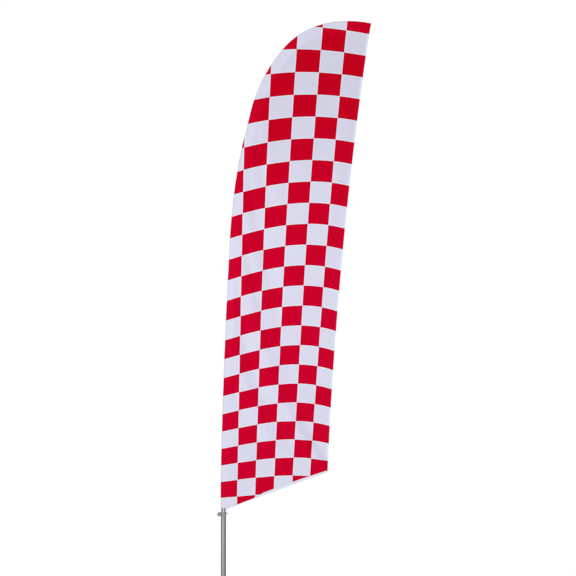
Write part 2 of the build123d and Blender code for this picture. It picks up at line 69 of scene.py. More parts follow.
# ---- light: the studio's walls are bright before and behind the flag, and dark at its sides
FRONT_WALLS = 1.02
SIDE_WALLS = 0.16
BACK_WALLS = 0.50
WALL_FADES = (0.35, 0.90)  # how squarely a wall is faced, where it begins and ends to brighten
WALL_TINT = (0.98, 0.985, 1.0, 1)
LIGHTS = [  # (name, place, aim, size, watts)
    ("key", (-3.9, -5.4, 2.8), (0.30, 0, 2.2), (1.2, 4.6), 165),
    ("fill", (2.4, -7.0, 2.6), (0.35, 0, 2.2), (2.5, 4.0), 45),
    ("back left", (-3.5, 5.0, 3.2), (0.35, 0, 2.2), (2.0, 4.0), 95),
    ("back right", (4.0, 5.5, 3.2), (0.35, 0, 2.2), (2.0, 4.0), 95),
]
FLOOR_RADIUS = 2.1
FLOOR_FADES_FROM = 1.1
FLOOR_SIDES = 96
FLOOR_DROP = 0.0005

# ---- the bent pole, as the CAD has it ----------------------------------------
STRAIGHT_TOP = 0.965
POLE_ARCS = [  # (length, lean in degrees at its upper end)
    (0.400, 1.7),
    (1.226, 2.8),
    (0.490, 9.9),
    (0.380, 15.2),
    (0.460, 43.0),
    (0.365, 85.5),
    (0.211, 101.3),
]
POLE_RUN = sum(length for length, lean in POLE_ARCS)
UPPER_TUBE_RADIUS = 0.0143
MID_TUBE_RADIUS = 0.011
TIP_ROD_RADIUS = 0.006
UPPER_TUBE_END = 0.900
MID_TUBE_END = 2.120
POLE_STEP_OVER = 0.1
FERRULE_PAST_TUBE = 0.06

# ---- cloth -------------------------------------------------------------------
CLOTH = 0.0006
SLEEVE_FOOT = 0.900
SLEEVE_SLACK = [  # (run up the pole, slack of the sleeve there)
    (-0.070, 0.0052),
    (0.150, 0.0020),
    (0.950, 0.0022),
    (1.150, 0.0050),
    (1.750, 0.0025),
    (2.350, 0.0050),
    (2.950, 0.0110),
    (3.250, 0.0052),
]
SLEEVE_EASES_AT_MID = 0.2
SLEEVE_EASES_AT_TIP = 0.3
SLEEVE_TIP_SNUG = 0.001
SLEEVE_SNUG = 0.0016
SLEEVE_STEPS = 190
SLEEVE_WRINKLES = [  # (waves backwards, to the side and up the pole, height)
    (30, 60, 9, 0.0011),
    (90, 120, 38, 0.0004),
]
SEAM_FLAT = 0.006
SEAM_HALF = 0.9 * CLOTH
SEAM_LAP = 0.001
SEAM_FORWARD = 0.78  # share of the sleeve's radius
SEAM_EASES_OVER = 0.30
SLEEVE_FOOT_NARROWING = 0.0025
SLEEVE_FOOT_TAPER = 0.080
SLEEVE_WIDTH_LOW = 0.048
SLEEVE_WIDTH_HEAD = 0.074
SLEEVE_WIDENS_FROM = 1.500
TIP_POCKET = 0.070
POCKET_STEPS = 14
POCKET_LAP = 0.004
POCKET_LOOSE = 0.0003
POCKET_FLAT = 0.85  # share of its depth that the pocket loses at its closed end
POCKET_CLOSES_OVER = 0.018
FLY_FOOT = Vector((0.666, 1.127))
FLY_CONTROL = Vector((0.729, 2.560))
BOTTOM_FRONT = 0.896  # height of the bottom edge where it meets the sleeve
FLY_HEM = 0.016
FLY_HEM_THICK = 0.0018
FLY_HEM_STEPS = 230
BOTTOM_BINDING = 0.017
BINDING_THICK = 0.0024
BINDING_STEPS = 90
BINDING_NARROW = 0.004
BINDING_GROWS = (0.25, 0.12)  # start and length, as shares of the edge
BINDING_SHRINKS = (0.75, 0.25)
BINDING_SHRINK = 0.45
SEAM_STEPS = 170
FLY_STEPS = 150
BOTTOM_STEPS = 34
GRID = 0.019
GRID_ROW = GRID * 0.866  # height of an even triangle
GRID_CLEARANCE = GRID * 0.55
RIM_ANGLE = 35

# ---- the breeze, and how the cloth hangs in it
SWELL_LIMIT = 0.017
START_ROUGHNESS = 0.0015
START_WAVES = 4
CORNER_HELD_OVER = 0.05
CUT_WIDER = 1.006
CUT_FROM = 0.3
BREEZE_TURN = (-78, 0, 14)  # degrees
BREEZE = {"strength": 0.55, "noise": 0.4, "seed": 5}
HANGING = {
    "quality": 5,
    "mass": 0.12,
    "tension_stiffness": 12,
    "compression_stiffness": 6,
    "shear_stiffness": 5,
    "bending_stiffness": 0.6,
    "air_damping": 2.0,
}
HUNG_AFTER = 45
CACHE_END = 60
BEFORE_SAIL = -0.5

# ---- long soft fold beside the free edge
FOLD_FROM = 2.20
FOLD_RUN = 1.60
FOLD_INSET_LOW = 0.120
FOLD_INSET_HIGH = 0.045
FOLD_WIDTH = 0.030
FOLD_DEPTH = 0.0055
FOLD_UNEVEN = 0.5
FOLD_WAVES = 3

# ---- checked print -----------------------------------------------------------
# Each curve is a list of terms in the height above PRINT_LEVEL: constant, slope, square, cube.
# Columns fan out upwards from the middle line and crowd away from it.
# Rows tilt, bow and twist across the cloth, in metres a column.
PRINT_LEVEL = 2.228
MIDDLE_COLUMN = 3
MIDDLE_LINE = (0.5081, 0.0621, 0.0048, 0.0009)
COLUMN_WIDTH = (0.1281, 0.0136, 0.0011)
COLUMN_CROWD = (0.0240, -0.0056)
COLUMN_CROWD_ENDS = (0.0046, -0.0019)
ROW_COUNT = (12.7206, -7.7935, 0.3654, -0.0474)
ROW_TILT = (-0.0007, 0.0038, -0.0001, -0.0037)
ROW_BOW = (-0.00969, 0.00032, 0.00350, -0.00126)
ROW_TWIST = (-0.00071, 0.00014, 0.00037, -0.00007)
BORDER = 0.038
LAST_COLUMN = 4.96
HEM_COLUMN = 4.995
HEM_LINE = 1.5

# ---- stitches ----------------------------------------------------------------
STITCH_PITCH = 0.0165
STITCH_LENGTH = 0.0095
STITCH_START = 0.2  # share of the pitch
STITCH_UNEVEN = 0.0006
STITCH_SINK = 0.0006
STITCH_SHARES = (0.0, 0.2, 0.5, 0.8, 1.0)  # places of the sections along a stitch
STITCH_STOP = 0.020
THREAD_RADIUS = 0.0006
THREAD_RIM = 6
THREAD_END = 0.45  # shares of the radius: at a stitch's ends, across it and into the cloth
THREAD_WIDE = 1.25
THREAD_DEEP = 0.6
FLY_STITCH_INSET = 0.013
FLY_STITCH_LIFT = 0.0010
SEAM_STITCH_INSET = 0.0012
SEAM_STITCH_LIFT = 0.0012
BINDING_STITCH_INSET = 0.010
BINDING_STITCH_LIFT = 0.0013
BINDING_FROM = 0.28

# ---- elastic strap -----------------------------------------------------------
STRAP_CENTRE = 0.0208
STRAP_ABOVE_SEAM_FOOT = 0.012
STRAP_BEFORE_SEAM = 0.005
STRAP_PATH = [  # (half the gap between the band's two layers, height), from below the sleeve down
    (0.0010, 0.893),
    (0.0012, 0.884),
    (0.0022, 0.876),
    (0.0031, 0.870),
    (0.0031, 0.864),
]
STRAP_LOOP_RADIUS = 0.0030
STRAP_LOOP_STEPS = 8
HOOK_ABOVE_LOOP = 0.0038
STRAP_WIDENS_FROM = 0.870
STRAP_WIDENS_OVER = 0.030
STRAP_NARROW = 0.0040
STRAP_WIDE = 0.0100
STRAP_HALF = 0.0007
STRAP_COLUMNS = 9
STRAP_EDGE = 0.6  # share of the band's thickness left at its edges
STRAP_RIB = 0.00025
STRAP_RIBS = 4


# ============================ small helpers ===================================


def eased(value, start, length):
    """Share of a change that begins at start and is over after length."""
    return min(1.0, max(0.0, (value - start) / length))


def new_piece(name, points, faces, material, body, smooth=True):
    """A mesh piece that rides on a body."""
    mesh = bpy.data.meshes.new(name)
    mesh.from_pydata([tuple(p) for p in points], [], faces)
    mesh.update()
    obj = bpy.data.objects.new(name, mesh)
    bpy.context.scene.collection.objects.link(obj)
    mesh.materials.append(material)
    for face in mesh.polygons:
        face.use_smooth = smooth
    if body:
        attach(obj, body)
    return obj


def tidy_normals(obj):
    """Make a closed or open mesh's faces all look outwards."""
    work = bmesh.new()
    work.from_mesh(obj.data)
    bmesh.ops.recalc_face_normals(work, faces=work.faces)
    work.to_mesh(obj.data)
    work.free()


def crisp_rims(obj):
    """Shade a sheet's cut edges as edges, not as round corners."""
    obj.data.set_sharp_from_angle(angle=radians(RIM_ANGLE))


def apply_modifiers(obj):
    """Replace a mesh by what its modifiers make of it."""
    bpy.context.view_layer.update()
    graph = bpy.context.evaluated_depsgraph_get()
    made = bpy.data.meshes.new_from_object(obj.evaluated_get(graph), depsgraph=graph)
    old = obj.data
    obj.modifiers.clear()
    obj.data = made
    made.name = old.name
    bpy.data.meshes.remove(old)


# ============================ pole line and outlines ==========================


def pole_station(run):
    """Place (x, z) and lean of the pole's centre line, run metres above its straight part."""
    if run <= 0:
        return 0.0, STRAIGHT_TOP + run, 0.0
    x, z, lean = 0.0, STRAIGHT_TOP, 0.0
    for length, end_lean in POLE_ARCS:
        turn = radians(end_lean) - lean
        radius = length / turn
        part = min(run, length)
        now = lean + turn * part / length
        x += radius * (cos(lean) - cos(now))
        z += radius * (sin(now) - sin(lean))
        lean = now
        run -= part
        if run <= 0:
            break
    return x, z, lean


def sleeve_slack(run):
    """How loose the sleeve is, in a straight line between the places given."""
    slack = SLEEVE_SLACK[0][1]
    for (low, before), (high, after) in zip(SLEEVE_SLACK, SLEEVE_SLACK[1:]):
        slack += (after - before) * eased(run, low, high - low)
    return slack


def sleeve_radius(run):
    """Radius of the sleeve's round front."""
    radius = UPPER_TUBE_RADIUS + sleeve_slack(run)
    radius -= SLEEVE_FOOT_NARROWING * (1 - eased(run, SLEEVE_FOOT - STRAIGHT_TOP, SLEEVE_FOOT_TAPER))
    radius -= (UPPER_TUBE_RADIUS - MID_TUBE_RADIUS) * eased(run, UPPER_TUBE_END, SLEEVE_EASES_AT_MID)
    tip_step = MID_TUBE_RADIUS - TIP_ROD_RADIUS + SLEEVE_TIP_SNUG
    return radius - tip_step * eased(run, MID_TUBE_END, SLEEVE_EASES_AT_TIP)


def rod_radius(run):
    """Radius of the pole itself."""
    mid_step, tip_step = UPPER_TUBE_RADIUS - MID_TUBE_RADIUS, MID_TUBE_RADIUS - TIP_ROD_RADIUS
    radius = UPPER_TUBE_RADIUS - mid_step * eased(run, UPPER_TUBE_END, POLE_STEP_OVER)
    return radius - tip_step * eased(run, MID_TUBE_END + FERRULE_PAST_TUBE, POLE_STEP_OVER)


def seam_distance(run):
    """How far the sleeve's rear seam lies behind the pole's centre line."""
    share = eased(run, SLEEVE_WIDENS_FROM, POLE_RUN - SLEEVE_WIDENS_FROM)
    return SLEEVE_WIDTH_LOW + (SLEEVE_WIDTH_HEAD - SLEEVE_WIDTH_LOW) * share - sleeve_radius(run)


def from_pole(run, back):
    """The point (x, z) that lies back metres behind the pole's centre line."""
    x, z, lean = pole_station(run)
    return Vector((x + back * cos(lean), z - back * sin(lean)))


SLEEVE_START = SLEEVE_FOOT - STRAIGHT_TOP
HEAD = from_pole(POLE_RUN, seam_distance(POLE_RUN))


def fly_point(share, inset=0.0):
    """A point on the free edge, from its foot at 0 to the head at 1."""
    a, b, c = FLY_FOOT, FLY_CONTROL, HEAD
    point = a * (1 - share) ** 2 + b * 2 * share * (1 - share) + c * share**2
    slope = (b - a) * (1 - share) + (c - b) * share
    slope.normalize()
    return point + Vector((-slope.y, slope.x)) * inset


def bottom_point(share, inset=0.0):
    """A point on the slanted bottom edge, from the sleeve at 0 to the fly at 1."""
    a = Vector((from_pole(SLEEVE_START, seam_distance(SLEEVE_START)).x, BOTTOM_FRONT))
    along = (FLY_FOOT - a).normalized()
    return a.lerp(FLY_FOOT, share) + Vector((-along.y, along.x)) * inset


def terms(coefficients, value):
    """Value of a constant, slope, square and cube at a place."""
    total = 0.0
    for coefficient in reversed(coefficients):
        total = total * value + coefficient
    return total


def print_place(x, z):
    """Where a point of the cloth lies in the checked print: (column, row)."""
    level = z - PRINT_LEVEL
    across = (x - terms(MIDDLE_LINE, level)) / terms(COLUMN_WIDTH, level)
    crowding = terms(COLUMN_CROWD, level) + across * terms(COLUMN_CROWD_ENDS, level)
    column = MIDDLE_COLUMN + across * (1 + across * crowding)
    bow = terms(ROW_BOW, level) + across * terms(ROW_TWIST, level)
    rise = across * (terms(ROW_TILT, level) + across * bow)
    return column, terms(ROW_COUNT, level - rise)


def map_print(obj, outer=None):
    """Give a cloth piece its place in the print, read from its flat front view.

    On a hem, outer(index) is 1 along the free edge, where the print ends in its bare line.
    """
    layer = obj.data.uv_layers.new(name="print")
    places = []
    for vertex in obj.data.vertices:
        column, row = print_place(vertex.co.x, vertex.co.z)
        column = min(column, LAST_COLUMN)
        if outer:
            column += (HEM_COLUMN - column) * outer(vertex.index)
        places.append((column, row))
    for loop in obj.data.loops:
        layer.data[loop.index].uv = places[loop.vertex_index]


# ============================ shader groups ===================================


def node_group(name, inputs, outputs):
    """An empty shader group with named sockets: (name, type, default)."""
    group = bpy.data.node_groups.new(name, "ShaderNodeTree")
    for label, kind, default in inputs:
        socket = group.interface.new_socket(name=label, in_out="INPUT", socket_type=kind)
        if default is not None:
            socket.default_value = default
    for label, kind in outputs:
        group.interface.new_socket(name=label, in_out="OUTPUT", socket_type=kind)
    enter = group.nodes.new("NodeGroupInput")
    leave = group.nodes.new("NodeGroupOutput")
    return group, enter, leave


def math_node(tree, operation, a, b=None, c=None):
    """A Math node whose inputs are numbers or sockets; returns its output."""
    node = tree.nodes.new("ShaderNodeMath")
    node.operation = operation
    for index, value in enumerate((a, b, c)):
        if value is None:
            continue
        if isinstance(value, (int, float)):
            node.inputs[index].default_value = value
        else:
            tree.links.new(value, node.inputs[index])
    return node.outputs[0]


def mix_colour(tree, share, a, b, blend="MIX"):
    """A colour mix whose inputs are colours or sockets; returns its output."""
    node = tree.nodes.new("ShaderNodeMix")
    node.data_type = "RGBA"
    node.blend_type = blend
    for socket, value in ((node.inputs[0], share), (node.inputs[6], a), (node.inputs[7], b)):
        if hasattr(value, "links"):
            tree.links.new(value, socket)
        elif isinstance(value, (int, float)):
            socket.default_value = value
        else:
            socket.default_value = (*value[:3], 1.0)
    return node.outputs[2]


def noise_node(tree, vector, scale, detail=3.0, rough=0.5):
    """A noise texture; returns its value output."""
    node = tree.nodes.new("ShaderNodeTexNoise")
    node.inputs["Scale"].default_value = scale
    node.inputs["Detail"].default_value = detail
    node.inputs["Roughness"].default_value = rough
    tree.links.new(vector, node.inputs["Vector"])
    return node.outputs["Fac"]


def map_range(tree, value, low, high, to_low=0.0, to_high=1.0):
    """A clamped Map Range node; returns its output."""
    node = tree.nodes.new("ShaderNodeMapRange")
    tree.links.new(value, node.inputs["Value"])
    for label, number in (("From Min", low), ("From Max", high), ("To Min", to_low), ("To Max", to_high)):
        node.inputs[label].default_value = number
    return node.outputs["Result"]


def make_knit_group():
    """Warp knit: rows of small loops. Gives a height and a slight tone."""
    group, enter, leave = node_group(
        "Knit",
        [("Vector", "NodeSocketVector", None), ("Loops per metre", "NodeSocketFloat", 700.0)],
        [("Height", "NodeSocketFloat"), ("Tone", "NodeSocketFloat")],
    )
    split = group.nodes.new("ShaderNodeSeparateXYZ")
    group.links.new(enter.outputs["Vector"], split.inputs[0])
    wave = math_node(group, "MULTIPLY", enter.outputs["Loops per metre"], 2 * pi)
    wale = math_node(group, "SINE", math_node(group, "MULTIPLY", split.outputs["X"], wave))
    course_turn = math_node(group, "MULTIPLY", split.outputs["Z"], wave)
    shift = math_node(group, "MULTIPLY", wale, 0.9)
    course = math_node(group, "SINE", math_node(group, "ADD", course_turn, shift))
    wale, course = math_node(group, "ADD", wale, 1.0), math_node(group, "ADD", course, 1.0)
    loops = math_node(group, "MULTIPLY", math_node(group, "MULTIPLY", wale, course), 0.25)
    slub = noise_node(group, enter.outputs["Vector"], 90.0, 4.0, 0.6)
    height = math_node(group, "MULTIPLY", loops, map_range(group, slub, 0.2, 0.8, 0.7, 1.0))
    group.links.new(height, leave.inputs["Height"])
    patch = noise_node(group, enter.outputs["Vector"], 6.0, 3.0, 0.6)
    patch_tone = map_range(group, patch, 0.3, 0.7, 0.975, 1.0)
    slub_tone = map_range(group, slub, 0.3, 0.7, 0.97, 1.0)
    group.links.new(math_node(group, "MULTIPLY", patch_tone, slub_tone), leave.inputs["Tone"])
    return group


def make_checks_group():
    """Checked print from the print map: which cells are inked, and the bare line between cells."""
    group, enter, leave = node_group(
        "Checks",
        [("Place", "NodeSocketVector", None), ("Border", "NodeSocketFloat", BORDER)],
        [("Ink", "NodeSocketFloat"), ("Bare line", "NodeSocketFloat")],
    )
    split = group.nodes.new("ShaderNodeSeparateXYZ")
    group.links.new(enter.outputs["Place"], split.inputs[0])
    column, row = split.outputs["X"], split.outputs["Y"]
    total = math_node(group, "ADD", math_node(group, "FLOOR", column), math_node(group, "FLOOR", row))
    odd = math_node(group, "FLOORED_MODULO", total, 2.0)
    near = []
    for place in (column, row):
        inside = math_node(group, "FRACT", place)
        near.append(math_node(group, "MINIMUM", inside, math_node(group, "SUBTRACT", 1.0, inside)))
    gap = math_node(group, "MINIMUM", near[0], near[1])
    line = math_node(group, "LESS_THAN", gap, enter.outputs["Border"])
    ink = math_node(group, "GREATER_THAN", odd, 0.5)
    group.links.new(ink, leave.inputs["Ink"])
    bare = math_node(group, "MULTIPLY", line, math_node(group, "SUBTRACT", 1.0, ink))
    group.links.new(bare, leave.inputs["Bare line"])
    return group


def make_grain_group():
    """Fine moulded or powder-coated grain: a height, and a mask of dust and handling marks."""
    group, enter, leave = node_group(
        "Grain",
        [("Vector", "NodeSocketVector", None), ("Scale", "NodeSocketFloat", 900.0)],
        [("Height", "NodeSocketFloat"), ("Dust", "NodeSocketFloat")],
    )
    fine = group.nodes.new("ShaderNodeTexNoise")
    fine.inputs["Detail"].default_value = 4.0
    group.links.new(enter.outputs["Vector"], fine.inputs["Vector"])
    group.links.new(enter.outputs["Scale"], fine.inputs["Scale"])
    group.links.new(fine.outputs["Fac"], leave.inputs["Height"])
    broad = noise_node(group, enter.outputs["Vector"], 35.0, 5.0, 0.65)
    group.links.new(map_range(group, broad, 0.45, 0.75), leave.inputs["Dust"])
    return group


def make_drawn_group():
    """Lines left on metal or fibre by drawing it along its length: a height and a streak mask."""
    group, enter, leave = node_group(
        "Drawn lines",
        [
            ("Vector", "NodeSocketVector", None),
            ("Across", "NodeSocketFloat", 600.0),
            ("Along", "NodeSocketFloat", 3.0),
        ],
        [("Height", "NodeSocketFloat"), ("Streak", "NodeSocketFloat")],
    )
    stretch = group.nodes.new("ShaderNodeCombineXYZ")
    for label, factor in (("X", "Across"), ("Y", "Across"), ("Z", "Along")):
        group.links.new(enter.outputs[factor], stretch.inputs[label])
    scaled = group.nodes.new("ShaderNodeVectorMath")
    scaled.operation = "MULTIPLY"
    group.links.new(enter.outputs["Vector"], scaled.inputs[0])
    group.links.new(stretch.outputs[0], scaled.inputs[1])
    lines = noise_node(group, scaled.outputs[0], 1.0, 4.0, 0.6)
    group.links.new(lines, leave.inputs["Height"])
    group.links.new(map_range(group, lines, 0.35, 0.65), leave.inputs["Streak"])
    return group


KNIT = make_knit_group()
CHECKS = make_checks_group()
GRAIN = make_grain_group()
DRAWN = make_drawn_group()


# ============================ materials =======================================


def material(name, roughness, metallic=0.0, **constants):
    """A material with a Principled shader; constants are set on the shader's own sockets."""
    made = bpy.data.materials.new(name)
    made.use_nodes = True
    tree = made.node_tree
    shader = tree.nodes["Principled BSDF"]
    shader.inputs["Roughness"].default_value = roughness
    shader.inputs["Metallic"].default_value = metallic
    for label, value in constants.items():
        shader.inputs[label.replace("_", " ")].default_value = value
    return made, tree, shader


def place_group(tree, group, **values):
    """Put a group in a material, fed by object coordinates."""
    node = tree.nodes.new("ShaderNodeGroup")
    node.node_tree = group
    for label, value in values.items():
        node.inputs[label.replace("_", " ")].default_value = value
    if "Vector" in node.inputs:
        coords = tree.nodes.new("ShaderNodeTexCoord")
        tree.links.new(coords.outputs["Object"], node.inputs["Vector"])
    return node


def add_bump(tree, shader, height, strength, distance):
    """Bump from a height, on the shader's normal."""
    bump = tree.nodes.new("ShaderNodeBump")
    bump.inputs["Strength"].default_value = strength
    bump.inputs["Distance"].default_value = distance
    tree.links.new(height, bump.inputs["Height"])
    tree.links.new(bump.outputs["Normal"], shader.inputs["Normal"])


RED = ((0.622, 0.0004, 0.0255), (0.618, 0.0004, 0.0140))  # at the foot and at the head
# lighter red of the doubled cloth: partly the fuller reflectance of two plies, partly painted light that
# lifts the sleeve's shade
BRIGHT_RED = ((0.648, 0.0006, 0.0285), (0.645, 0.0006, 0.0190))
THREAD_RED = ((0.780, 0.0050, 0.0600), (0.760, 0.0050, 0.0500))
OFF_WHITE = (0.744, 0.737, 0.878)
# lighter white of the doubled cloth: partly the fuller reflectance of two plies, partly painted light that
# lifts the sleeve's shade
BRIGHT_WHITE = (0.760, 0.755, 0.902)
BARE_WHITE = (0.750, 0.890, 1.000)
FOOT_TO_HEAD_RED = (2.3, 3.7)  # heights over which a colour changes
# heights over which painted shade darkens the cloth towards the head
HEAD_SHADE_HEIGHTS = (2.7, 3.6)
KNIT_DEPTH = 0.0004
BINDING_DEPTH = 0.0005
LINE_DEPTH = 0.0001
GRAIN_DEPTH = 0.0003


def printed_cloth(name, head_shade, reds=RED, white=OFF_WHITE, weave=0.35):
    """Flag cloth with the checked print. head_shade is the share of the colour left at the head, where the
    cloth is darkened as painted shade.
    """
    gloss = {"Sheen_Weight": 0.005, "Sheen_Roughness": 0.4, "Specular_IOR_Level": 0.01}
    made, tree, shader = material(name, 0.85, **gloss)
    checks = place_group(tree, CHECKS)
    uv = tree.nodes.new("ShaderNodeUVMap")
    uv.uv_map = "print"
    tree.links.new(uv.outputs["UV"], checks.inputs["Place"])
    knit = place_group(tree, KNIT, Loops_per_metre=650.0)
    coords = tree.nodes.new("ShaderNodeTexCoord")
    split = tree.nodes.new("ShaderNodeSeparateXYZ")
    tree.links.new(coords.outputs["Object"], split.inputs[0])
    red = mix_colour(tree, map_range(tree, split.outputs["Z"], *FOOT_TO_HEAD_RED), *reds)
    ground = mix_colour(tree, checks.outputs["Bare line"], white, BARE_WHITE)
    colour = mix_colour(tree, checks.outputs["Ink"], ground, red)
    # painted shade: the colour is darkened towards the head
    shade = map_range(tree, split.outputs["Z"], *HEAD_SHADE_HEIGHTS, 1.0, head_shade)
    tone = math_node(tree, "MULTIPLY", shade, knit.outputs["Tone"])
    grey = tree.nodes.new("ShaderNodeCombineColor")
    for channel in ("Red", "Green", "Blue"):
        tree.links.new(tone, grey.inputs[channel])
    tree.links.new(mix_colour(tree, 1.0, colour, grey.outputs[0], "MULTIPLY"), shader.inputs["Base Color"])
    add_bump(tree, shader, knit.outputs["Height"], weave, KNIT_DEPTH)
    return made


def plain_cloth(name, colour, loops, roughness=0.85):
    """White binding, elastic or thread."""
    gloss = {"Sheen_Weight": 0.1, "Sheen_Roughness": 0.4, "Specular_IOR_Level": 0.25}
    made, tree, shader = material(name, roughness, **gloss)
    knit = place_group(tree, KNIT, Loops_per_metre=loops)
    dim = tuple(0.9 * c for c in colour)
    share = map_range(tree, knit.outputs["Tone"], 0.94, 1.0)
    tree.links.new(mix_colour(tree, share, dim, colour), shader.inputs["Base Color"])
    add_bump(tree, shader, knit.outputs["Height"], 0.5, BINDING_DEPTH)
    return made


def drawn_metal(name, colour, roughness, across, along, metallic=1.0, spread=0.12):
    """Tube, rod or turned metal with fine lines."""
    made, tree, shader = material(name, roughness, metallic)
    lines = place_group(tree, DRAWN, Across=across, Along=along)
    dark = tuple(c * 0.86 for c in colour)
    tree.links.new(mix_colour(tree, lines.outputs["Streak"], dark, colour), shader.inputs["Base Color"])
    smooth, coarse = roughness - spread / 2, roughness + spread / 2
    rough = map_range(tree, lines.outputs["Height"], 0.3, 0.7, smooth, coarse)
    tree.links.new(rough, shader.inputs["Roughness"])
    add_bump(tree, shader, lines.outputs["Height"], 0.25, LINE_DEPTH)
    return made


def grained(name, colour, roughness, scale, bump=0.3, dust=(0.5, 0.5, 0.48), dust_share=0.05):
    """Moulded plastic, rubber or powder coat with grain and a little dust."""
    made, tree, shader = material(name, roughness)
    grain = place_group(tree, GRAIN, Scale=scale)
    share = math_node(tree, "MULTIPLY", grain.outputs["Dust"], dust_share)
    tree.links.new(mix_colour(tree, share, colour, dust), shader.inputs["Base Color"])
    rough = map_range(tree, grain.outputs["Dust"], 0.0, 1.0, roughness, min(1.0, roughness + 0.05))
    tree.links.new(rough, shader.inputs["Roughness"])
    add_bump(tree, shader, grain.outputs["Height"], bump, GRAIN_DEPTH)
    return made


# head_shade is painted shade that darkens each printed cloth towards the head
SINGLE_CLOTH = printed_cloth("flag cloth, single", 0.915)
# doubled cloth of the sleeve, pocket and fly hem: a lighter copy of the print, partly real reflectance of
# two plies and partly painted light, with less painted shade at the head
DOUBLE_CLOTH = printed_cloth("flag cloth, doubled", 0.945, BRIGHT_RED, BRIGHT_WHITE)
BINDING = plain_cloth("white binding", (0.80, 0.83, 0.93), 900.0)
CLEAR_THREAD = printed_cloth("clear thread over print", 1.0, THREAD_RED, BARE_WHITE, weave=0.0)
ELASTIC = plain_cloth("white elastic", (0.84, 0.86, 0.95), 800.0)
# Metal: colour, roughness, lines across and along. Moulded: colour, roughness, grain, bump, dust.
FINISHES = {
    "matt_aluminium": drawn_metal("matt anodised tube", (0.40, 0.395, 0.41), 0.40, 900.0, 4.0, 0.9),
    "polished_aluminium": drawn_metal(
        "bright drawn tube", (0.56, 0.56, 0.60), 0.13, 900.0, 4.0, spread=0.06
    ),
    "turned_aluminium": drawn_metal("turned aluminium", (0.66, 0.67, 0.69), 0.30, 40.0, 2500.0),
    "turned_steel": drawn_metal("turned steel", (0.50, 0.51, 0.53), 0.28, 40.0, 2500.0),
    "bearing_steel": drawn_metal("ground bearing steel", (0.72, 0.73, 0.75), 0.14, 60.0, 2500.0),
    "zinc_steel": drawn_metal("zinc plate", (0.58, 0.60, 0.64), 0.34, 300.0, 300.0),
    "brass_insert": drawn_metal("turned brass", (0.70, 0.52, 0.22), 0.28, 2500.0, 60.0),
    "powder_coated_steel": grained("black powder coat", (0.022, 0.022, 0.025), 0.42, 700.0, 0.45),
    "grey_nylon": grained(
        "grey moulded nylon", (0.30, 0.305, 0.31), 0.50, 1200.0, 0.35, (0.55, 0.55, 0.55), 0.2
    ),
    "black_nylon": grained("black moulded nylon", (0.028, 0.028, 0.03), 0.50, 1200.0),
    "black_rubber": grained("moulded rubber", (0.020, 0.020, 0.021), 0.72, 900.0, 0.4),
    "grey_fibreglass": drawn_metal("pultruded fibreglass", (0.24, 0.25, 0.27), 0.38, 1400.0, 5.0, 0.0),
}


# ============================ camera, light and floor =========================


def make_camera():
    """Square on to the sail, and far enough for a flat view."""
    data = bpy.data.cameras.new("camera")
    data.sensor_width = SENSOR
    data.lens = SENSOR * abs(CAMERA_PLACE[1]) / VIEW_WIDTH
    data.clip_end = FAR_CLIP
    camera = bpy.data.objects.new("camera", data)
    camera.location = CAMERA_PLACE
    camera.rotation_euler = (pi / 2, 0, 0)
    bpy.context.scene.collection.objects.link(camera)
    bpy.context.scene.camera = camera


def area_light(name, place, aim, size, watts):
    """A rectangular soft light aimed at a point."""
    data = bpy.data.lights.new(name, "AREA")
    data.shape = "RECTANGLE"
    data.size, data.size_y = size
    data.energy = watts
    lamp = bpy.data.objects.new(name, data)
    lamp.location = place
    lamp.rotation_euler = (Vector(aim) - Vector(place)).to_track_quat("-Z", "Y").to_euler()
    bpy.context.scene.collection.objects.link(lamp)


def make_light():
    """A white studio: a white backdrop, and greyer walls for what the flag reflects."""
    scene = bpy.context.scene
    scene.view_settings.view_transform = "Standard"
    scene.view_settings.look = "None"
    world = bpy.data.worlds.new("studio")
    scene.world = world
    world.use_nodes = True
    tree = world.node_tree
    backdrop = tree.nodes["Background"]
    backdrop.inputs["Color"].default_value = (1, 1, 1, 1)
    around = tree.nodes.new("ShaderNodeBackground")
    around.inputs["Color"].default_value = WALL_TINT
    coords = tree.nodes.new("ShaderNodeTexCoord")
    split = tree.nodes.new("ShaderNodeSeparateXYZ")
    tree.links.new(coords.outputs["Generated"], split.inputs[0])
    near, far = WALL_FADES
    front = map_range(tree, split.outputs["Y"], -near, -far, 0.0, FRONT_WALLS - SIDE_WALLS)
    back = map_range(tree, split.outputs["Y"], near, far, SIDE_WALLS, BACK_WALLS)
    tree.links.new(math_node(tree, "ADD", front, back), around.inputs["Strength"])
    path = tree.nodes.new("ShaderNodeLightPath")
    mix = tree.nodes.new("ShaderNodeMixShader")
    tree.links.new(path.outputs["Is Camera Ray"], mix.inputs[0])
    tree.links.new(around.outputs[0], mix.inputs[1])
    tree.links.new(backdrop.outputs[0], mix.inputs[2])
    tree.links.new(mix.outputs[0], tree.nodes["World Output"].inputs["Surface"])
    for light in LIGHTS:
        area_light(*light)


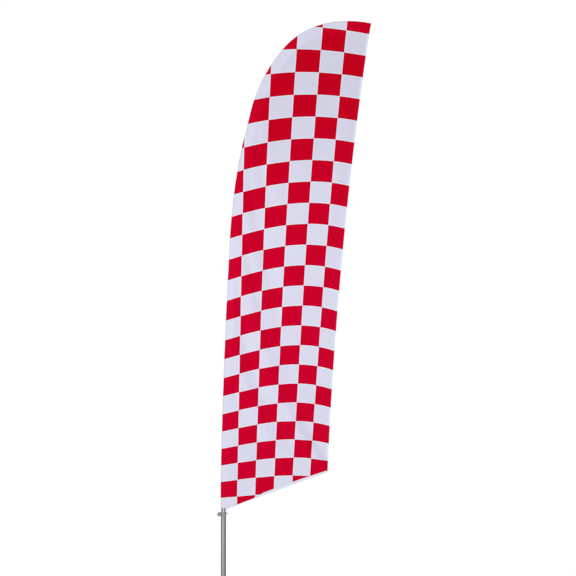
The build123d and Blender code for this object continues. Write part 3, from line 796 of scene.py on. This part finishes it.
def make_floor():
    """A pale round floor that fades out to the white backdrop."""
    made, tree, shader = material("pale floor", 0.9)
    coords = tree.nodes.new("ShaderNodeTexCoord")
    length = tree.nodes.new("ShaderNodeVectorMath")
    length.operation = "LENGTH"
    tree.links.new(coords.outputs["Object"], length.inputs[0])
    share = map_range(tree, length.outputs["Value"], FLOOR_FADES_FROM, FLOOR_RADIUS)
    speckle = noise_node(tree, coords.outputs["Object"], 40.0)
    base = mix_colour(tree, map_range(tree, speckle, 0.3, 0.7), (0.80, 0.80, 0.81), (0.84, 0.84, 0.85))
    tree.links.new(base, shader.inputs["Base Color"])
    tree.links.new(math_node(tree, "SUBTRACT", 1.0, share), shader.inputs["Alpha"])
    points = [(0, 0, -FLOOR_DROP)]
    for k in range(FLOOR_SIDES):
        turn = 2 * pi * k / FLOOR_SIDES
        points.append((FLOOR_RADIUS * cos(turn), FLOOR_RADIUS * sin(turn), -FLOOR_DROP))
    faces = [(0, k + 1, (k + 1) % FLOOR_SIDES + 1) for k in range(FLOOR_SIDES)]
    new_piece("floor", points, faces, made, None, smooth=False)


# ============================ the sail ========================================


def sail_outline():
    """The cloth's flat outline, foot of the seam first, and which points are sewn to the sleeve."""
    seam = [SLEEVE_START + (POLE_RUN - SLEEVE_START) * k / SEAM_STEPS for k in range(SEAM_STEPS + 1)]
    outline = [from_pole(run, seam_distance(run) - SEAM_LAP) for run in seam]
    outline += [fly_point(1 - k / FLY_STEPS) for k in range(1, FLY_STEPS)]
    outline += [bottom_point(1 - k / BOTTOM_STEPS) for k in range(BOTTOM_STEPS)]
    return outline, [k < len(seam) for k in range(len(outline))]


def inside_outline(point, outline, margin):
    """True if a point is inside the outline and at least margin from it."""
    inside = False
    for a, b in zip(outline, outline[1:] + outline[:1]):
        if (a.y > point.y) != (b.y > point.y):
            if point.x < a.x + (b.x - a.x) * (point.y - a.y) / (b.y - a.y):
                inside = not inside
        if (a - point).length < margin:
            return False
    return inside


def flat_sail():
    """Points and triangles of the cloth laid flat."""
    outline, sewn = sail_outline()
    points = list(outline)
    low_x, high_x = min(p.x for p in outline), max(p.x for p in outline)
    low_z, high_z = min(p.y for p in outline), max(p.y for p in outline)
    for row in range(int((high_z - low_z) / GRID_ROW) + 1):
        z = low_z + GRID_ROW * row
        shift = GRID / 2 if row % 2 else 0.0
        for column in range(int((high_x - low_x) / GRID) + 2):
            point = Vector((low_x + shift + GRID * column, z))
            if inside_outline(point, outline, GRID_CLEARANCE):
                points.append(point)
                sewn.append(False)
    edges = [(k, (k + 1) % len(outline)) for k in range(len(outline))]
    made, _, faces, origins, _, _ = delaunay_2d_cdt(points, edges, [], 1, 1e-6)
    sewn = [bool(source) and sewn[source[0]] for source in origins]
    return made, [tuple(face) for face in faces], sewn


def loose_cloth(points, faces, sewn):
    """The cloth cut a little wider than its place, and held along the seam and at the fly's foot."""
    mesh = bpy.data.meshes.new("swell")
    ripples = [START_ROUGHNESS * noise.noise((p.x * START_WAVES, p.y * START_WAVES, 3.1)) for p in points]
    mesh.from_pydata([(p.x, y, p.y) for p, y in zip(points, ripples)], [], faces)
    obj = bpy.data.objects.new("swell", mesh)
    bpy.context.scene.collection.objects.link(obj)
    held = obj.vertex_groups.new(name="held")
    for index, point in enumerate(points):
        grip = 1.0 if sewn[index] else 1 - (point - FLY_FOOT).length / CORNER_HELD_OVER
        if grip > 0:
            held.add([index], grip, "REPLACE")
    obj.shape_key_add(name="hung")
    cut = obj.shape_key_add(name="cut")
    for index, point in enumerate(points):
        cut.data[index].co.x = CUT_FROM + (point.x - CUT_FROM) * CUT_WIDER
    return obj, cut


def light_breeze():
    """A gentle wind on the face of the flag, blowing a little upwards."""
    wind = bpy.data.objects.new("breeze", None)
    bpy.context.scene.collection.objects.link(wind)
    wind.rotation_euler = [radians(turn) for turn in BREEZE_TURN]
    bpy.context.view_layer.objects.active = wind
    with bpy.context.temp_override(object=wind, active_object=wind, selected_objects=[wind]):
        bpy.ops.object.forcefield_toggle()
    wind.field.type = "WIND"
    for label, value in BREEZE.items():
        setattr(wind.field, label, value)
    return wind


def swell(points, faces, sewn):
    """How far the breeze and the slack in the cloth push each point out of the flag's plane."""
    obj, cut = loose_cloth(points, faces, sewn)
    wind = light_breeze()
    cloth = obj.modifiers.new("cloth", "CLOTH")
    for label, value in HANGING.items():
        setattr(cloth.settings, label, value)
    cloth.settings.vertex_group_mass = "held"
    cloth.settings.rest_shape_key = cut
    cloth.collision_settings.use_collision = False
    cloth.point_cache.frame_start = 1
    cloth.point_cache.frame_end = CACHE_END
    scene = bpy.context.scene
    for number in range(1, HUNG_AFTER + 1):
        scene.frame_set(number)
    graph = bpy.context.evaluated_depsgraph_get()
    hung = [v.co.y for v in obj.evaluated_get(graph).to_mesh().vertices]
    scene.frame_set(1)
    bpy.data.objects.remove(obj)
    bpy.data.objects.remove(wind)
    gain = min(1.0, SWELL_LIMIT / max(abs(y) for y in hung))
    return [y * gain for y in hung]


class SeamForward:
    """The sleeve is folded to the back, so its seam lies before the pole's middle.

    The cloth eases back from it.
    """

    def __init__(self, steps=300):
        runs = [SLEEVE_START + (POLE_RUN - SLEEVE_START) * k / steps for k in range(steps + 1)]
        self.depths = [-SEAM_FORWARD * sleeve_radius(run) for run in runs]
        self.places = KDTree(len(runs))
        for index, run in enumerate(runs):
            self.places.insert(from_pole(run, seam_distance(run)).to_3d(), index)
        self.places.balance()

    def at(self, point):
        """Depth to add at a point of the flat cloth."""
        index, distance = self.places.find(point.to_3d())[1:]
        return self.depths[index] * (1 - eased(distance, 0.0, SEAM_EASES_OVER)) ** 2


def fly_fold(point):
    """Depth of the long soft fold that runs beside the free edge and drifts inwards on its way down."""
    level = eased(point.y, FOLD_FROM, FOLD_RUN)
    edge = fly_point((point.y - FLY_FOOT.y) / (HEAD.y - FLY_FOOT.y)).x
    middle = FOLD_INSET_LOW + (FOLD_INSET_HIGH - FOLD_INSET_LOW) * level
    across = (edge - point.x - middle) / FOLD_WIDTH
    change = 1 + FOLD_UNEVEN * noise.noise((0.0, point.y * FOLD_WAVES, 1.7))
    return -FOLD_DEPTH * 4 * level * (1 - level) * change * exp(-across * across)


class Sail:
    """The hung cloth's surface: the flat mesh, and its depth at any point of the front view."""

    def __init__(self):
        self.points, self.faces, sewn = flat_sail()
        depth = swell(self.points, self.faces, sewn)
        seam = SeamForward()
        self.surface = [Vector((p.x, y + seam.at(p) + fly_fold(p), p.y)) for p, y in zip(self.points, depth)]
        self.tree = BVHTree.FromPolygons(self.surface, self.faces)

    def depth(self, x, z):
        """The cloth's depth (y) in front view at (x, z)."""
        hit = self.tree.ray_cast(Vector((x, BEFORE_SAIL, z)), Vector((0, 1, 0)))[0]
        if hit is None:
            hit = self.tree.find_nearest(Vector((x, 0, z)))[0]
        return hit.y


def thicken(obj, thickness):
    """Give a sheet its thickness, half to each side."""
    modifier = obj.modifiers.new("thickness", "SOLIDIFY")
    modifier.thickness = thickness
    modifier.offset = 0.0
    modifier.use_even_offset = True
    apply_modifiers(obj)
    crisp_rims(obj)


def build_sail(sail):
    """The printed cloth itself."""
    panel = new_piece("sail_cloth", sail.surface, sail.faces, SINGLE_CLOTH, "mast")
    map_print(panel)
    thicken(panel, CLOTH)
    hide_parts("sail_panel")
    return panel


# A hem's section: place from the cloth's edge inwards, and height as a share of half the thickness.
HEM_FACE = [(0.0, 0.6), (0.03, 1.0), (0.2, 1.0), (0.4, 1.0), (0.6, 1.0), (0.8, 1.0), (1.0, 0.75)]
HEM_SECTION = HEM_FACE + [(place, -side) for place, side in reversed(HEM_FACE)]


def edge_strip(name, edge, count, width, thick, sail, cloth):
    """A hem folded round an edge of the sail: edge(share, inset) and width(share) give its flat shape."""
    points, faces = [], []
    for k in range(count + 1):
        for place, side in HEM_SECTION:
            inset = place * width(k / count)
            flat = edge(k / count, inset)
            at = edge(k / count, max(inset, SEAM_LAP))
            points.append((flat.x, sail.depth(at.x, at.y) + side * thick / 2, flat.y))
    size = len(HEM_SECTION)
    for k in range(count):
        for j in range(size):
            a, b = k * size + j, k * size + (j + 1) % size
            faces.append((a, b, b + size, a + size))
    faces.append(tuple(reversed(range(size))))
    faces.append(tuple(count * size + j for j in range(size)))
    strip = new_piece(name, points, faces, cloth, "mast")
    tidy_normals(strip)
    crisp_rims(strip)
    return strip


def binding_width(share):
    """The binding starts narrow at the sleeve, is widest past the middle, and narrows to the fly."""
    grown = eased(share, *BINDING_GROWS) - BINDING_SHRINK * eased(share, *BINDING_SHRINKS)
    return BINDING_NARROW + (BOTTOM_BINDING - BINDING_NARROW) * grown


def hem_print(index):
    """How near a point of the fly hem is to the free edge, for its print."""
    return min(1.0, HEM_LINE * (1 - HEM_SECTION[index % len(HEM_SECTION)][0]))


def build_hems(sail):
    """The hem of the free edge, and the white binding of the foot."""
    fly = edge_strip(
        "fly_hem_cloth", fly_point, FLY_HEM_STEPS, lambda share: FLY_HEM, FLY_HEM_THICK, sail, DOUBLE_CLOTH
    )
    map_print(fly, hem_print)
    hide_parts("fly_hem")
    binding = edge_strip(
        "bottom_binding", bottom_point, BINDING_STEPS, binding_width, BINDING_THICK, sail, BINDING
    )
    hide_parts("bottom_hem")
    return fly, binding


# ============================ the sleeve ======================================


def teardrop(radius, rear, seam, half, count):
    """Points (back, y) round a sleeve's section, starting and ending at its seam, which lies at y = seam."""
    ends = [Vector((rear, seam + half)), Vector((rear, seam - half))]
    first = atan2(ends[0].y, rear) + acos(min(1.0, radius / ends[0].length))
    last = 2 * pi + atan2(ends[1].y, rear) - acos(min(1.0, radius / ends[1].length))
    flat, round_count = count // 4, count - 2 * (count // 4)
    turns = [first + (last - first) * k / round_count for k in range(round_count + 1)]
    bend = [Vector((radius * cos(turn), radius * sin(turn))) for turn in turns]
    out = [ends[0].lerp(bend[0], k / flat) for k in range(flat)]
    return out + bend + [bend[-1].lerp(ends[1], (k + 1) / flat) for k in range(flat)]


def sleeve_ring(run, sail, grow=0.0, flatten=1.0, count=36):
    """One section of the sleeve, with the cloth's small wrinkles and its flat seam."""
    radius, rear = sleeve_radius(run) + grow, seam_distance(run)
    x, z, lean = pole_station(run)
    seam_at = from_pole(run, rear)
    seam_depth = sail.depth(seam_at.x, seam_at.y)
    snug = min(1.0, (rod_radius(run) + SLEEVE_SNUG) / sleeve_radius(run))
    ring = []
    half, seam = (SEAM_HALF + grow) / snug, seam_depth / snug
    section = teardrop(radius, rear - SEAM_FLAT, seam, half, count)
    for back, side in [(rear, seam + half), *section, (rear, seam - half)]:
        wrinkle = 0.0
        for waves_back, waves_side, waves_up, height in SLEEVE_WRINKLES:
            wrinkle += noise.noise((back * waves_back, side * waves_side, run * waves_up)) * height
        share = eased(back, 0.0, rear - SEAM_FLAT)
        loose = 1 + wrinkle * (1 - share * share) / hypot(back, side)
        back, side = back * loose, side * loose * snug
        side += (seam_depth - side) * (1 - flatten)
        ring.append(Vector((x + back * cos(lean), side, z - back * sin(lean))))
    return ring


def ring_mesh(name, rings, cloth, closed_end=False):
    """A tube of cloth from its rings; the last ring may be sewn shut."""
    size = len(rings[0])
    points = [p for ring in rings for p in ring]
    faces = []
    for k in range(len(rings) - 1):
        for j in range(size):
            a, b = k * size + j, k * size + (j + 1) % size
            faces.append((a, b, b + size, a + size))
    if closed_end:
        base = (len(rings) - 1) * size
        for j in range(size // 2):
            a, b = base + j, base + size - 1 - j
            if b - a > 2:
                faces.append((a, a + 1, b - 1, b))
    piece = new_piece(name, points, faces, cloth, "mast")
    tidy_normals(piece)
    return piece


def build_sleeve(sail):
    """The sleeve, and the pocket that is sewn shut over the pole's end."""
    end = POLE_RUN - TIP_POCKET
    stations = [SLEEVE_START + (end - SLEEVE_START) * k / SLEEVE_STEPS for k in range(SLEEVE_STEPS + 1)]
    sleeve = ring_mesh("sleeve_cloth", [sleeve_ring(run, sail) for run in stations], DOUBLE_CLOTH)
    map_print(sleeve)
    thicken(sleeve, CLOTH)
    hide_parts("pole_sleeve")
    rings = []
    for k in range(POCKET_STEPS + 1):
        run = end - POCKET_LAP + (TIP_POCKET + POCKET_LAP) * k / POCKET_STEPS
        closing = eased(run, POLE_RUN - POCKET_CLOSES_OVER, POCKET_CLOSES_OVER)
        rings.append(sleeve_ring(run, sail, POCKET_LOOSE, 1 - POCKET_FLAT * closing**2))
    pocket = ring_mesh("tip_pocket_cloth", rings, DOUBLE_CLOTH, closed_end=True)
    map_print(pocket)
    thicken(pocket, CLOTH)
    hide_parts("tip_pocket")
    return sleeve, pocket


# ============================ stitches ========================================


def add_tube(points, faces, sections):
    """Add a closed tube through sections that have the same count of points."""
    base, rim, last = len(points), len(sections[0]), len(sections) - 1
    for section in sections:
        points.extend(section)
    for k in range(last):
        for j in range(rim):
            a, b = base + k * rim + j, base + k * rim + (j + 1) % rim
            faces.append((a, b, b + rim, a + rim))
    faces.append(tuple(base + j for j in reversed(range(rim))))
    faces.append(tuple(base + last * rim + j for j in range(rim)))


def stitch_row(name, line, length, lift, thread=None):
    """Lock stitches along a line: line(distance) gives a point on the cloth."""
    chance = random.Random(STITCH_SEED)
    points, faces = [], []
    for side in (-1, 1):
        out = Vector((0, side, 0))
        for k in range(int(length / STITCH_PITCH)):
            start = STITCH_PITCH * (k + STITCH_START) + chance.uniform(-STITCH_UNEVEN, STITCH_UNEVEN)
            places = [line(start + STITCH_LENGTH * share) for share in STITCH_SHARES]
            across = (places[-1] - places[0]).normalized().cross(out).normalized()
            sections = []
            for share, place in zip(STITCH_SHARES, places):
                at_end = share in (0.0, 1.0)
                thick = THREAD_RADIUS * (THREAD_END if at_end else 1.0)
                centre = place + out * (lift - (STITCH_SINK if at_end else 0.0))
                section = []
                for j in range(THREAD_RIM):
                    turn = 2 * pi * j / THREAD_RIM
                    wide, deep = THREAD_WIDE * thick * cos(turn), THREAD_DEEP * thick * sin(turn)
                    section.append(centre + across * wide + out * deep)
                sections.append(section)
            add_tube(points, faces, sections)
    row = new_piece(name, points, faces, thread or CLEAR_THREAD, "mast")
    tidy_normals(row)
    map_print(row)
    return row


def edge_line(edge, total, inset, sail, start=0.0):
    """A stitch line along one edge of the sail, begun at a distance from its first end."""

    def place(distance):
        flat = edge(min(1.0, (start + distance) / total), inset)
        return Vector((flat.x, sail.depth(flat.x, flat.y), flat.y))

    return place


def seam_line(inset, sail):
    """A stitch line along the sleeve's rear seam."""

    def place(distance):
        run = SLEEVE_START + distance
        flat = from_pole(run, seam_distance(run) - inset)
        return Vector((flat.x, sail.depth(flat.x, flat.y), flat.y))

    return place


def curve_length(edge, steps=400):
    """Length of one edge of the cloth."""
    return sum((edge(k / steps) - edge((k + 1) / steps)).length for k in range(steps))


def build_stitches(sail):
    """The rows of stitches along the sleeve's seam, the fly hem and the binding."""
    fly, bottom = curve_length(fly_point), curve_length(bottom_point)
    seam = POLE_RUN - SLEEVE_START
    bare = BINDING_FROM * bottom
    seam_at = seam_line(SEAM_STITCH_INSET, sail)
    fly_at = edge_line(fly_point, fly, FLY_STITCH_INSET, sail)
    binding_at = edge_line(bottom_point, bottom, BINDING_STITCH_INSET, sail, bare)
    bound = bottom - bare
    return (
        stitch_row("seam_stitches", seam_at, seam - STITCH_STOP, SEAM_STITCH_LIFT),
        stitch_row("fly_stitches", fly_at, fly - STITCH_STOP, FLY_STITCH_LIFT),
        stitch_row("binding_stitches", binding_at, bound - STITCH_STOP, BINDING_STITCH_LIFT, BINDING),
    )


# ============================ strap ===========================================


def strap_section(path, k, middle, width):
    """The band's section at a place of its path: a flat oval, ribbed along its length."""
    (y, z), before, after = path[k], path[max(0, k - 1)], path[min(len(path) - 1, k + 1)]
    along = Vector((after[0] - before[0], after[1] - before[1])).normalized()
    section = []
    for side in (1, -1):
        for j in range(STRAP_COLUMNS)[::side]:
            place = j / (STRAP_COLUMNS - 1) - 0.5
            edge = STRAP_EDGE if abs(place) == 0.5 else 1.0
            offset = side * (STRAP_HALF * edge + STRAP_RIB * cos(place * STRAP_RIBS * 2 * pi))
            section.append((middle + place * width, y - along.y * offset, z + along.x * offset))
    return section


def build_strap():
    """The elastic strap: a folded band sewn in the seam, its loop held under the collar's hook."""
    hook_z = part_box("tension_strap")[0][2] + HOOK_ABOVE_LOOP
    seam_x = from_pole(SLEEVE_START, seam_distance(SLEEVE_START)).x - STRAP_BEFORE_SEAM
    half = [(STRAP_PATH[0][0], SLEEVE_FOOT + STRAP_ABOVE_SEAM_FOOT), *STRAP_PATH]
    path = list(half)
    for k in range(1, STRAP_LOOP_STEPS):
        turn = -pi * k / STRAP_LOOP_STEPS
        path.append((STRAP_LOOP_RADIUS * cos(turn), hook_z + STRAP_LOOP_RADIUS * sin(turn)))
    path += [(-y, z) for y, z in reversed(half)]
    sections = []
    for k, (_, z) in enumerate(path):
        share = eased(z, STRAP_WIDENS_FROM, STRAP_WIDENS_OVER)
        middle = STRAP_CENTRE + (seam_x - STRAP_CENTRE) * share
        sections.append(strap_section(path, k, middle, STRAP_NARROW + (STRAP_WIDE - STRAP_NARROW) * share))
    points, faces = [], []
    add_tube(points, faces, sections)
    strap = new_piece("elastic_strap", points, faces, ELASTIC, None)
    tidy_normals(strap)
    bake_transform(strap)
    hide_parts("tension_strap")


# ============================ hardware ========================================


def paint_hardware():
    """Every CAD node that stays gets the finish of its slot."""
    slots = {part["node"]: part["material_slot"] for part in frame["record"]["subparts"]}
    for name, obj in frame["nodes"].items():
        finish = FINISHES.get(slots[name])
        if finish is None:
            continue
        for place in obj.material_slots:
            place.material = finish


def main():
    make_camera()
    make_light()
    make_floor()
    sail = Sail()
    panel = build_sail(sail)
    fly, binding = build_hems(sail)
    sleeve, pocket = build_sleeve(sail)
    seam_stitches, fly_stitches, binding_stitches = build_stitches(sail)
    build_strap()
    paint_hardware()


main()
